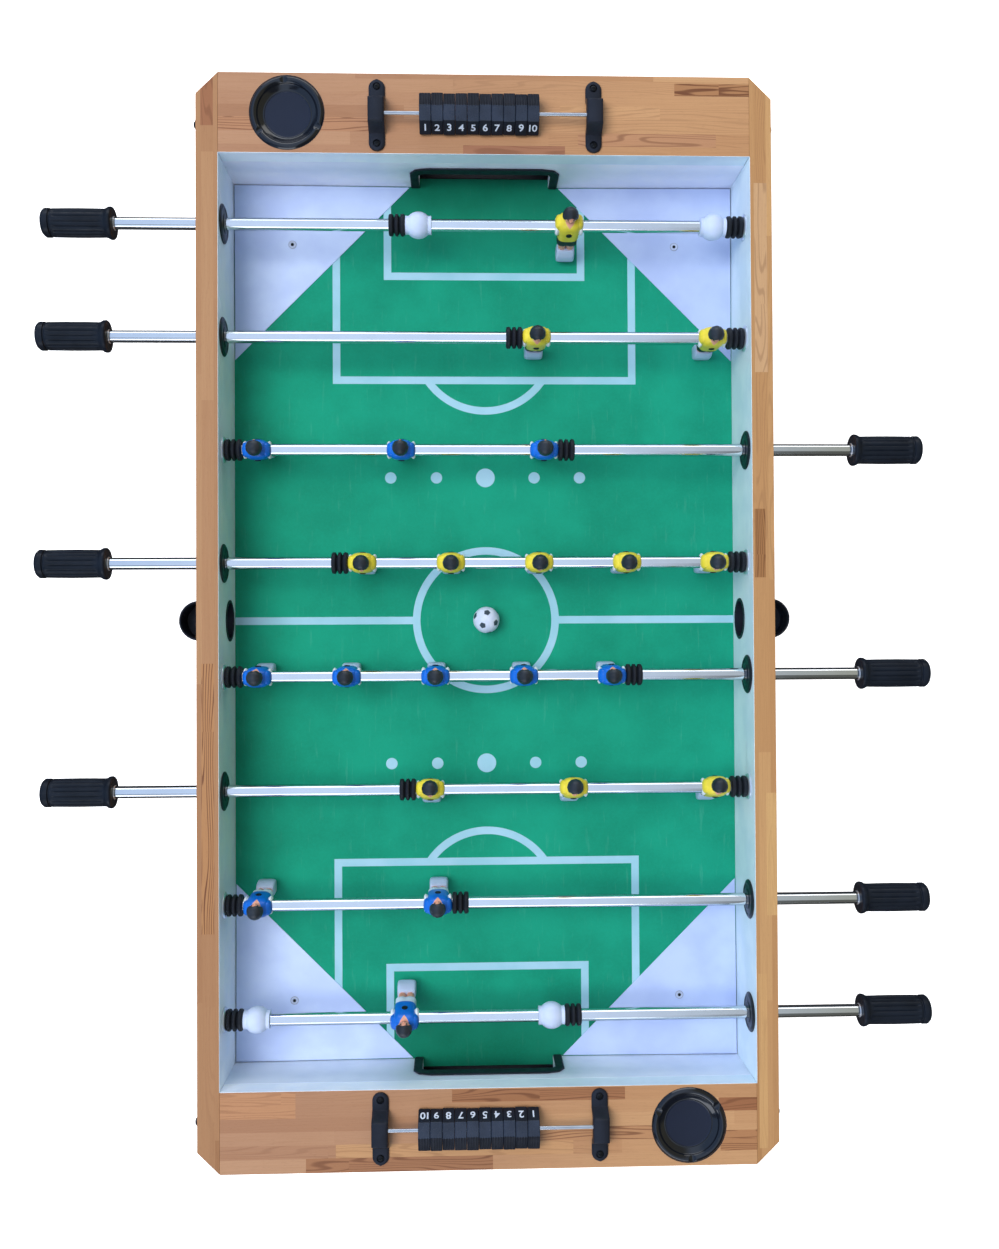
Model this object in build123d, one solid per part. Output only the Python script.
"""Tabletop football (foosball) table: wooden cabinet, eight telescopic rods of players, score counters.

Millimetres. X runs along the rods, Y along the playing field, +Z is up. The origin is the centre of the
footprint on the surface that the rubber feet stand on. The near half (-Y) repeats the far half (+Y)
turned 180 degrees about Z. Each node of the assembly is written to its own STEP file.
"""
from build123d import *
import math
import os

# ---- cabinet -----------------------------------------------------------------------------------
inner_half_x = 344.0          # side rail inner face
rail_t = 28.5                 # side rail thickness
outer_half_x = inner_half_x + rail_t
inner_half_y = 600.3          # goal wall inner face
outer_half_y = 704.5          # end apron outer face
feet_h = 14.0
cabinet_h = 200.0
rim_z = feet_h + cabinet_h    # top of the wooden rim
field_z = rim_z - 110.0       # playing surface
rod_z = field_z + 78.0        # axis of the player rods
field_t = 9.0
goal_wall_t = 16.0
apron_t = 18.0
end_top_t = 28.5
panel_bottom_z = rim_z - end_top_t
rail_corner_cut = 28.0        # 45 degree cut on the rail ends
board_lip = 11.5              # playing board under the goal wall
batten_w = 18.0
batten_h = 28.0
batten_y = 220.0              # inner cross battens
foot_r = 14.0
foot_y = 640.0
bolt_y = 648.0
bolt_drop = 30.0              # cabinet bolts below the rim
bolt_r = 9.0
bolt_dome = 8.5

# ---- rods --------------------------------------------------------------------------------------
row_pitch = 148.3
rod_r = 7.95
tube_bore_r = 6.45
inner_rod_r = 6.38
bearing_clear = 0.05
bearing_flange_r = 25.5
bearing_flange_t = 4.0
bearing_sleeve_r = 13.0
anchor_ring_r = 16.8
anchor_ring_t = 3.0
inner_rod_overlap = 150.0     # inner rod left inside the tube when it is pulled right out
end_gap = 0.3                 # rubber bumper to its stop
bumper_r = 14.2
bumper_l = 21.4
bumper_groove = 2.2
handle_l = 93.0
handle_r = 18.2
handle_flange_r = 21.0
handle_flange_l = 9.0
handle_cap_l = 13.0
tube_in_handle = 83.0
flute_count = 16
flute_r = 1.5

# ---- players -----------------------------------------------------------------------------------
man_w = 36.8
man_reach = 70.0              # rod axis to the sole
first_man = 44.6              # far wall to the centre of the nearest player
collar_r = 17.3
collar_sleeve_r = 12.0
collar_l = 34.6
ball_r = 18.0

# Row: number, handle side, player centres from the far wall, handle end from the cabinet centre,
# lean of the feet towards the opponent's goal in degrees.
five_men = [first_man + 115.6 * i for i in range(5)]
three_men = [first_man + 187.5 * i for i in range(3)]
two_men = [first_man, first_man + 233.0]
goalie = [233.7]
rows = [
    (1, -1, goalie, 577.5, 13.0),
    (2, -1, two_men, 584.0, 1.0),
    (3, 1, three_men, 577.5, 7.0),
    (4, -1, five_men, 585.0, 0.0),
    (5, 1, five_men, 585.0, 5.0),
    (6, -1, three_men, 577.5, 13.0),
    (7, 1, two_men, 581.0, 8.0),
    (8, 1, goalie, 582.0, 17.0),
]
collar_centres = {1: (42.5, 432.2), 8: (42.5, 425.4)}

# ---- field furniture ---------------------------------------------------------------------------
ramp_leg = 240.0
ramp_rise = 5.5
ramp_edge = 1.2
ramp_wall_gap = 1.2
ramp_screw = (264.0, 518.0)
ramp_screw_head_r = 5.7
goal_half_w = 89.0
goal_h = 49.0
goal_corner = 8.0
goal_leg_w = 11.5
goal_bar_h = 17.0
goal_frame_t = 2.5
goal_frame_corner = 24.0
corner_slope = 0.65           # height of a goal corner's rounding for its width
return_half_w = 69.0
return_bottom_z = field_z - 44.0
return_top_z = field_z + 30.0
return_wall = 3.0
return_clear = 0.3
serve_z = field_z + 37.0
serve_hole_r = 26.2
serve_bore_r = 24.0
serve_flange_t = 1.2
scoop_reach = 36.0
scoop_r = 26.5
scoop_top = 14.0              # pocket's rim above the serve hole's axis
scoop_drop = 27.0
scoop_plate_t = 3.0

# ---- end panels --------------------------------------------------------------------------------
cup_centre = (-255.6, 652.4)  # far end; the near end's cup holder is turned 180 degrees
cup_rim_r = 48.5
cup_rim_t = 3.0
cup_top_r = 39.3
cup_floor_r = 30.5
cup_wall = 2.0
cup_depth = 8.0
cup_notch_r = 5.0
cup_notch_rise = 2.4          # notch axis above the rim
cup_clear = 0.2
bracket_x = 140.0
bracket_y = 649.0
bracket_w = 20.8
bracket_l = 92.0
bracket_screw_pitch = 73.6
bracket_foot = 22.0
screw_shank_r = 1.5
screw_depth = 14.0
bracket_plateau = 30.0
bracket_h = 24.0
bracket_t = 4.0
score_rod_r = 2.5
score_rod_y = 645.0
score_rod_z = rim_z + 18.0
bead_pitch = 15.35
bead_count = 10
bead_bore_r = 2.9
bead_tilt = 19.0
bead_tilt_spread = 3.5
bead_start = {1: -85.0, -1: -91.7}


def turn(shape):
    """The same piece at the near end of the table."""
    return shape.rotate(Axis.Z, 180)


def save(name, shapes):
    """One STEP for the node; loose pieces of one kind stay separate solids."""
    solids = [solid for shape in shapes for solid in shape.solids()]
    node = solids[0] if len(solids) == 1 else Compound(children=solids)
    export_step(node, "parts/" + name + ".step")


def block(x0, x1, y0, y1, z0, z1):
    return Pos((x0 + x1) / 2, (y0 + y1) / 2, (z0 + z1) / 2) * Box(x1 - x0, y1 - y0, z1 - z0)


def prism_z(points, z0, z1):
    """Upright prism over an outline in the XY plane."""
    return extrude(make_face(Polyline(*points, close=True)).moved(Pos(0, 0, z0)), z1 - z0, dir=(0, 0, 1))


def prism_x(points, x0, x1):
    """Prism along X over an outline given as (y, z)."""
    outline = Polyline(*[(x0, y, z) for y, z in points], close=True)
    return extrude(make_face(outline), x1 - x0, dir=(1, 0, 0))


def prism_y(points, y0, y1):
    """Prism along Y over an outline given as (x, z)."""
    outline = Polyline(*[(x, y0, z) for x, z in points], close=True)
    return extrude(make_face(outline), y1 - y0, dir=(0, 1, 0))


def lathe_x(points):
    """Body of revolution about the X axis from (x, radius) points."""
    return revolve(make_face(Polyline(*points, close=True)), Axis.X)


def lathe_z(points):
    """Body of revolution about the Z axis from (radius, z) points."""
    return revolve(make_face(Polyline(*[(r, 0, z) for r, z in points], close=True)), Axis.Z)


def rod_cylinder(x0, x1, r, y=0.0, z=0.0):
    return Pos((x0 + x1) / 2, y, z) * Rot(0, 90, 0) * Cylinder(r, x1 - x0)


def upright(x, y, z0, z1, r):
    return Pos(x, y, (z0 + z1) / 2) * Cylinder(r, z1 - z0)


def row_y(number):
    return (4.5 - number) * row_pitch


def from_far_wall(side, s):
    """X of a place s from the far wall, on a rod with its handle at the given side."""
    return side * (s - inner_half_x)


def last_piece_end(number, men):
    if number in collar_centres:
        return collar_centres[number][1] + collar_l / 2
    return men[-1] + man_w / 2


def near_bumper_start(number, men):
    return last_piece_end(number, men) + end_gap


def travel(number, men):
    """How far the rod pulls out before the near bumper meets the bearing flange."""
    stop = 2 * inner_half_x - bearing_flange_t - end_gap
    return stop - near_bumper_start(number, men) - bumper_l


# ---- cabinet -----------------------------------------------------------------------------------
def side_rail(side):
    """Full-length side board with the rod holes, the serve hole and 45 degree ends."""
    cut = rail_corner_cut
    y = outer_half_y
    outline = [(inner_half_x, -y), (outer_half_x, -y + cut), (outer_half_x, y - cut), (inner_half_x, y)]
    rail = prism_z([(side * px, py) for px, py in outline], feet_h, rim_z)
    rail -= rod_cylinder(side * outer_half_x - 40, side * outer_half_x + 40, serve_hole_r, 0, serve_z)
    for number, handle_side, _, _, _ in rows:
        r = bearing_sleeve_r if handle_side == side else inner_rod_r
        rail -= rod_cylinder(side * outer_half_x - 40, side * outer_half_x + 40, r, row_y(number), rod_z)
    return rail


def end_apron():
    """Upright board that closes the end, with the ball return opening."""
    face = outer_half_y - apron_t
    apron = block(-inner_half_x, inner_half_x, face, outer_half_y, feet_h, panel_bottom_z)
    return apron - block(-return_half_w, return_half_w, face - 1, outer_half_y + 1,
                         return_bottom_z, return_top_z)


def end_top():
    """Wide end panel with the cup holder's hole and pilot holes for the counter brackets."""
    panel = block(-inner_half_x, inner_half_x, inner_half_y, outer_half_y, panel_bottom_z, rim_z)
    cx, cy = cup_centre
    panel -= upright(cx, cy, panel_bottom_z - 1, rim_z + 1, cup_top_r + cup_wall)
    for x, y in bracket_screw_places():
        panel -= upright(x, y, rim_z - screw_depth, rim_z + 1, screw_shank_r)
    return panel


def goal_outline(half_w, height, corner):
    """Upright outline (x, z) with both upper corners rounded off in two chords."""
    right = []
    for angle in (0, 45, 90):
        turn_in = corner * (1 - math.cos(math.radians(angle)))
        drop = corner * corner_slope * (1 - math.sin(math.radians(angle)))
        right.append((half_w - turn_in, height - drop))
    left = [(-x, z) for x, z in reversed(right)]
    return [(-half_w, 0), (half_w, 0)] + right + left


def lifted(points, dz):
    return [(x, z + dz) for x, z in points]


def goal_wall():
    wall = block(-inner_half_x, inner_half_x, inner_half_y, inner_half_y + goal_wall_t,
                 field_z, panel_bottom_z)
    mouth = lifted(goal_outline(goal_half_w, goal_h, goal_corner), field_z)
    return wall - prism_y(mouth, inner_half_y - 1, inner_half_y + goal_wall_t + 1)


def goal_frame():
    """Thin moulded surround on the field side of the goal mouth."""
    outer = lifted(goal_outline(goal_half_w + goal_leg_w, goal_h + goal_bar_h, goal_frame_corner), field_z)
    mouth = lifted(goal_outline(goal_half_w, goal_h, goal_corner), field_z)
    frame = prism_y(outer, inner_half_y - goal_frame_t, inner_half_y)
    frame -= prism_y(mouth, inner_half_y - goal_frame_t - 1, inner_half_y + 1)
    return frame


def playfield():
    reach = inner_half_y + board_lip
    return block(-inner_half_x, inner_half_x, -reach, reach, field_z - field_t, field_z)


def field_battens():
    """Battens that carry the playing board: two along the rails and four across."""
    top = field_z - field_t
    reach = inner_half_y + board_lip
    half = batten_w / 2
    edge = inner_half_x - half
    battens = [block(x - half, x + half, -reach, reach, top - batten_h, top) for x in (-edge, edge)]
    between = inner_half_x - batten_w
    for y in (-reach + half, -batten_y, batten_y, reach - half):
        battens.append(block(-between, between, y - half, y + half, top - batten_h, top))
    return battens


def corner_ramp(side):
    """Triangular board that rises into the corner."""
    x = inner_half_x - ramp_wall_gap
    y = inner_half_y - ramp_wall_gap
    ramp = prism_z([(side * x, y), (side * (x - ramp_leg), y), (side * x, y - ramp_leg)],
                   field_z, field_z + ramp_rise)
    corner = Vector(side * x, y, field_z + ramp_rise)
    edge_a = Vector(side * (x - ramp_leg), y, field_z + ramp_edge)
    edge_b = Vector(side * x, y - ramp_leg, field_z + ramp_edge)
    normal = (edge_a - corner).cross(edge_b - corner).normalized()
    if normal.Z < 0:
        normal = normal * -1
    ramp = split(ramp, bisect_by=Plane(origin=corner, z_dir=normal), keep=Keep.BOTTOM)
    sx, sy = ramp_screw
    ramp -= upright(side * sx, sy, field_z - 1, field_z + ramp_rise, 2.0)
    return ramp


def ramp_height(x, y):
    """Height of the ramp's face above the field."""
    along = (inner_half_x - ramp_wall_gap - x) + (inner_half_y - ramp_wall_gap - y)
    return ramp_rise + (ramp_edge - ramp_rise) * along / ramp_leg


def ramp_screw_at(side):
    sx, sy = ramp_screw
    seat = field_z + ramp_height(sx, sy) + 0.25
    r = ramp_screw_head_r
    return Pos(side * sx, sy, 0) * lathe_z([(0, field_z + 0.2), (1.9, field_z + 0.2), (1.9, seat),
                                            (r, seat), (r - 0.4, seat + 0.7), (0, seat + 0.9)])


def ball_return():
    """Black tray that catches the ball behind the goal and rolls it out through the apron."""
    start = inner_half_y + board_lip + 0.5
    apron_in = outer_half_y - apron_t
    wide = goal_half_w + 8
    narrow = return_half_w - return_clear
    wall = return_wall
    outer = [(-wide, start), (wide, start), (wide, start + 18), (narrow, apron_in), (narrow, outer_half_y),
             (-narrow, outer_half_y), (-narrow, apron_in), (-wide, start + 18)]
    inner = [(-wide + wall, start + wall), (wide - wall, start + wall), (wide - wall, start + 17),
             (narrow - wall, apron_in - 2), (narrow - wall, outer_half_y - wall),
             (-narrow + wall, outer_half_y - wall), (-narrow + wall, apron_in - 2),
             (-wide + wall, start + 17)]
    tray = prism_z(outer, return_bottom_z + return_clear, field_z - 5)
    slope_start = field_z - 18
    slope_end = return_bottom_z + wall + 2
    hollow = prism_x([(start - 5, slope_start), (outer_half_y + 5, slope_end), (outer_half_y + 5, rim_z),
                      (start - 5, rim_z)], -wide - 5, wide + 5)
    tray -= prism_z(inner, return_bottom_z, rim_z) & hollow
    lip = block(-wide, wide, outer_half_y - 12, outer_half_y + 5, slope_end + 14, rim_z)
    return tray - lip


def serve_scoop(side):
    """Outside pocket where a player drops the ball, with a sleeve through the rail."""
    face = outer_half_x
    reach = face + scoop_reach
    top = serve_z + scoop_top
    bottom = serve_z - scoop_drop
    body = block(face, reach - scoop_r, -scoop_r, scoop_r, bottom, top)
    body += upright(reach - scoop_r, 0, bottom, top, scoop_r) & block(face, reach, -40, 40, bottom, top)
    pocket = block(face - 1, reach - scoop_r, -serve_bore_r, serve_bore_r, serve_z - serve_bore_r, top + 1)
    pocket += upright(reach - scoop_r, 0, serve_z - serve_bore_r, top + 1, serve_bore_r)
    body -= pocket & block(face - 1, reach, -40, 40, bottom, top + 1)
    inside = inner_half_x - serve_flange_t
    sleeve = rod_cylinder(inside, face + 0.5, serve_hole_r - 0.1, 0, serve_z)
    flange = rod_cylinder(inside, inner_half_x, serve_hole_r + 1.6, 0, serve_z)
    plate = block(face, face + scoop_plate_t, -scoop_r, scoop_r, bottom, serve_z + scoop_drop)
    scoop = body + plate + sleeve + flange
    scoop -= rod_cylinder(inside - 1, face + scoop_plate_t + 0.5, serve_bore_r, 0, serve_z)
    return scoop if side > 0 else turn(scoop)


# ---- rod fittings fixed to the cabinet ---------------------------------------------------------
def rod_bearing(number, side):
    """Flanged plastic bearing in the rail on the handle side."""
    face = inner_half_x
    points = [(face - bearing_flange_t, rod_r + bearing_clear), (face - bearing_flange_t, 21.0),
              (face - 1.5, bearing_flange_r), (face, bearing_flange_r), (face, bearing_sleeve_r),
              (outer_half_x, bearing_sleeve_r), (outer_half_x, rod_r + bearing_clear)]
    bearing = lathe_x(points)
    if side < 0:
        bearing = turn(bearing)
    return Pos(0, row_y(number), rod_z) * bearing


def anchor_ring(number, side):
    """Chrome collar where the fixed inner rod leaves the far wall."""
    x0 = from_far_wall(side, 0)
    x1 = from_far_wall(side, anchor_ring_t)
    lo, hi = min(x0, x1), max(x0, x1)
    y = row_y(number)
    return rod_cylinder(lo, hi, anchor_ring_r, y, rod_z) - rod_cylinder(lo - 1, hi + 1, inner_rod_r, y, rod_z)


def inner_rod(number, side, men):
    """Fixed steel rod of the telescope, anchored in the far rail."""
    x0 = from_far_wall(side, -rail_t)
    x1 = from_far_wall(side, travel(number, men) + inner_rod_overlap)
    return rod_cylinder(min(x0, x1), max(x0, x1), inner_rod_r, row_y(number), rod_z)


# ---- moving rods -------------------------------------------------------------------------------
def bumper(x0):
    """Ribbed rubber stop with three raised bands, from x0 towards +X."""
    r = bumper_r
    g = bumper_groove
    third = bumper_l / 3
    points = [(x0, rod_r), (x0, r - 1), (x0 + 1, r)]
    for i in (1, 2):
        x = x0 + third * i
        points += [(x - 1.6, r), (x, r - g), (x + 1.6, r)]
    points += [(x0 + bumper_l - 1, r), (x0 + bumper_l, r - 1), (x0 + bumper_l, rod_r)]
    return lathe_x(points)


def bumpers(number, side, men):
    starts = [anchor_ring_t + end_gap, near_bumper_start(number, men)]
    places = [(from_far_wall(side, s), from_far_wall(side, s + bumper_l)) for s in starts]
    return [Pos(0, row_y(number), rod_z) * bumper(min(pair)) for pair in places]


def tube(number, side, handle_end):
    """Hollow chromed rod from the far bumper into the handle."""
    x0 = from_far_wall(side, anchor_ring_t + 1.0)
    x1 = side * (handle_end - handle_l + tube_in_handle)
    lo, hi = min(x0, x1), max(x0, x1)
    y = row_y(number)
    bore_end = (lo - 1, hi - 20) if side > 0 else (lo + 20, hi + 1)
    return rod_cylinder(lo, hi, rod_r, y, rod_z) - rod_cylinder(bore_end[0], bore_end[1], tube_bore_r, y, rod_z)


def handle(number, side, handle_end):
    """Fluted hand grip with a flange towards the table and a plain end cap."""
    inner_end = handle_end - handle_l
    cap = handle_end - handle_cap_l
    points = [(inner_end, rod_r), (inner_end, handle_flange_r - 2), (inner_end + 2, handle_flange_r),
              (inner_end + handle_flange_l - 3, handle_flange_r), (inner_end + handle_flange_l, handle_r),
              (cap - 1.2, handle_r), (cap - 1.2, handle_r - 1.5), (cap + 1.2, handle_r - 1.5),
              (cap + 1.2, handle_r + 0.5), (handle_end - 5, handle_r + 0.5), (handle_end - 1.5, handle_r - 3),
              (handle_end, handle_r - 7), (handle_end, 0), (inner_end + tube_in_handle, 0),
              (inner_end + tube_in_handle, rod_r)]
    grip = lathe_x(points)
    for i in range(flute_count):
        angle = math.radians(360 / flute_count * i)
        grip -= rod_cylinder(inner_end + handle_flange_l + 3, cap - 4, flute_r,
                             handle_r * math.cos(angle), handle_r * math.sin(angle))
    if side < 0:
        grip = turn(grip)
    return Pos(0, row_y(number), rod_z) * grip


def man():
    """Player moulded round the rod, facing -Y, as one solid about the rod axis."""
    half = man_w / 2
    hub = rod_cylinder(-half, half, 12.0)
    torso = prism_x([(-13.5, 3), (-12.5, 13), (-8, 19), (8, 19), (12.5, 14), (13.5, 2), (12, -13), (6, -17),
                     (-6, -17), (-12, -13)], -half, half)
    torso &= prism_y([(-half, -8), (-half, 10), (-13, 19), (13, 19), (half, 10), (half, -8), (13, -17),
                      (-13, -17)], -20, 20)
    head = Pos(0, -4.5, 28.5) * Sphere(10.2)
    shorts = block(-13.5, 13.5, -9, 8.5, -32, -10)
    legs = block(-11, 11, -6.5, 5.5, -56, -30)
    boots = prism_x([(-11, -man_reach), (8, -man_reach), (8, -56), (6, -52), (-7, -52), (-11, -58)],
                    -12.6, 12.6)
    figure = hub + torso + head + shorts + legs + boots
    return figure - rod_cylinder(-half - 1, half + 1, rod_r)


def collar():
    """White ball-shaped collar that sets a goalkeeper rod's travel."""
    body = rod_cylinder(-collar_l / 2, collar_l / 2, collar_sleeve_r) + Sphere(collar_r)
    body &= rod_cylinder(-collar_l / 2, collar_l / 2, collar_r + 1)
    return body - rod_cylinder(-collar_l, collar_l, rod_r)


def players(number, side, men, lean):
    """The row's players, leaning so that the feet point towards the opponent's goal."""
    figure = man().rotate(Axis.X, -lean)
    if side > 0:
        figure = turn(figure)
    return [Pos(from_far_wall(side, s), row_y(number), rod_z) * figure for s in men]


def collars(number, side):
    return [Pos(from_far_wall(side, s), row_y(number), rod_z) * collar() for s in collar_centres[number]]


# ---- end panel fittings ------------------------------------------------------------------------
def bracket_screw_places():
    half = bracket_screw_pitch / 2
    return [(x, bracket_y + dy) for x in (-bracket_x, bracket_x) for dy in (-half, half)]


def score_bracket(x):
    """Bridge-shaped support of the counter rod."""
    y = bracket_y
    half = bracket_l / 2
    top = bracket_plateau / 2
    z = rim_z
    foot = half - bracket_foot
    outline = [(y - half, z), (y - foot + 2, z), (y - top + 3, z + bracket_h - bracket_t - 9),
               (y + top - 3, z + bracket_h - bracket_t - 9), (y + foot - 2, z), (y + half, z),
               (y + half, z + bracket_t), (y + foot, z + bracket_t), (y + top, z + bracket_h),
               (y - top, z + bracket_h), (y - foot, z + bracket_t), (y - half, z + bracket_t)]
    bracket = prism_x(outline, x - bracket_w / 2, x + bracket_w / 2)
    bracket -= rod_cylinder(x - 20, x + 20, score_rod_r, score_rod_y, score_rod_z)
    for dy in (-bracket_screw_pitch / 2, bracket_screw_pitch / 2):
        bracket -= upright(x, y + dy, z - 1, z + bracket_t + 1, 2.3)
    return bracket


def bracket_screw(x, y):
    top = rim_z + bracket_t
    tip = rim_z - screw_depth
    return Pos(x, y, 0) * lathe_z([(0, tip), (screw_shank_r, tip), (screw_shank_r, top), (4.0, top),
                                   (3.2, top + 1.6), (0, top + 2.2)])


def score_rod():
    reach = bracket_x + bracket_w / 2
    return rod_cylinder(-reach, reach, score_rod_r, score_rod_y, score_rod_z)


def bead(index):
    """Counter tile with a roof-shaped profile; its number side hangs lower, towards the field."""
    profile = [(-24.5, -9), (24.5, -9), (24.5, -5), (9, 10.5), (-9, 10.5), (-24.5, -5)]
    tile = prism_x(profile, 0.15, bead_pitch - 0.15) - rod_cylinder(-1, bead_pitch + 1, bead_bore_r)
    return tile.rotate(Axis.X, bead_tilt + bead_tilt_spread * math.sin(2.1 * index))


def bead_group(end, first, last):
    """Counters first to last, numbered along +X at the far end, before the near end is turned."""
    start = bead_start[end]
    tiles = []
    for index in range(first, last):
        x = start + bead_pitch * index
        tile = bead(index)
        if end < 0:
            tile = turn(tile.moved(Pos(-x - bead_pitch, 0, 0)))
            tiles.append(Pos(0, -score_rod_y, score_rod_z) * tile)
        else:
            tiles.append(Pos(x, score_rod_y, score_rod_z) * tile)
    return tiles


def cup_holder():
    """Shallow round dish that hangs in the panel by its rim, with three notches in the rim."""
    z = rim_z
    floor = z - cup_depth + cup_wall
    side = cup_top_r + cup_wall - cup_clear
    points = [(0, floor), (cup_floor_r, floor), (cup_top_r, z + 0.5),
              (cup_top_r, z + cup_rim_t - 1), (cup_top_r + 1.5, z + cup_rim_t),
              (cup_rim_r - 2, z + cup_rim_t), (cup_rim_r, z + 0.8), (cup_rim_r, z),
              (side, z), (side, z - cup_depth), (0, z - cup_depth)]
    cup = lathe_z(points)
    for angle in (95, 215, 335):
        notch = Pos(cup_rim_r, 0, z + cup_rim_t + cup_notch_rise) * Rot(0, 90, 0) * Cylinder(cup_notch_r, 30)
        cup -= notch.rotate(Axis.Z, angle)
    return Pos(cup_centre[0], cup_centre[1], 0) * cup


def foot(y, side):
    """Round rubber foot under the side rail."""
    profile = [(0, 0), (foot_r - 3, 0), (foot_r - 2, 1), (foot_r, feet_h - 1),
               (foot_r - 0.5, feet_h), (0, feet_h)]
    return Pos(side * (inner_half_x + rail_t / 2), y, 0) * lathe_z(profile)


def corner_bolt(side_x, side_y):
    """Dome-headed cabinet bolt through the rail into the end apron's corner."""
    face = outer_half_x
    points = [(face, 0), (face, bolt_r), (face + 3, bolt_r), (face + 7, 5.5), (face + bolt_dome, 0)]
    bolt = lathe_x(points)
    if side_x < 0:
        bolt = turn(bolt)
    return Pos(0, side_y * bolt_y, rim_z - bolt_drop) * bolt


def build():
    os.makedirs("parts", exist_ok=True)
    both = (-1, 1)
    save("side_rail_left", [side_rail(-1)])
    save("side_rail_right", [side_rail(1)])
    for name, piece in (("end_aprons", end_apron()), ("end_tops", end_top()), ("goal_walls", goal_wall()),
                        ("goal_frames", goal_frame()), ("ball_returns", ball_return()),
                        ("score_rods", score_rod()), ("cup_holders", cup_holder())):
        save(name, [piece, turn(piece)])
    save("playfield", [playfield()])
    save("field_battens", field_battens())
    ramps = [corner_ramp(side) for side in both]
    save("corner_ramps", ramps + [turn(ramp) for ramp in ramps])
    ramp_screws = [ramp_screw_at(side) for side in both]
    save("ramp_screws", ramp_screws + [turn(screw) for screw in ramp_screws])
    save("serve_scoops", [serve_scoop(side) for side in both])
    brackets = [score_bracket(side * bracket_x) for side in both]
    save("score_brackets", brackets + [turn(bracket) for bracket in brackets])
    bracket_screws = [bracket_screw(x, y) for x, y in bracket_screw_places()]
    save("bracket_screws", bracket_screws + [turn(screw) for screw in bracket_screws])
    half = bead_count // 2
    for end, end_name in ((1, "far"), (-1, "near")):
        save("counters_" + end_name + "_left", bead_group(end, 0, half))
        save("counters_" + end_name + "_right", bead_group(end, half, bead_count))
    save("feet", [foot(y, side) for side in both for y in (-foot_y, 0, foot_y)])
    save("corner_bolts", [corner_bolt(sx, sy) for sx in both for sy in both])
    save("rod_bearings", [rod_bearing(number, side) for number, side, _, _, _ in rows])
    save("anchor_rings", [anchor_ring(number, side) for number, side, _, _, _ in rows])
    save("inner_rods", [inner_rod(number, side, men) for number, side, men, _, _ in rows])
    save("ball", [Pos(0, 0, field_z + ball_r) * Sphere(ball_r)])
    for number, side, men, handle_end, lean in rows:
        tag = "_" + str(number)
        save("bumpers" + tag, bumpers(number, side, men))
        save("tube" + tag, [tube(number, side, handle_end)])
        save("handle" + tag, [handle(number, side, handle_end)])
        save("players" + tag, players(number, side, men, lean))
        if number in collar_centres:
            save("collars" + tag, collars(number, side))
        print("row", number, "pulls out", round(travel(number, men), 2), "mm")


build()
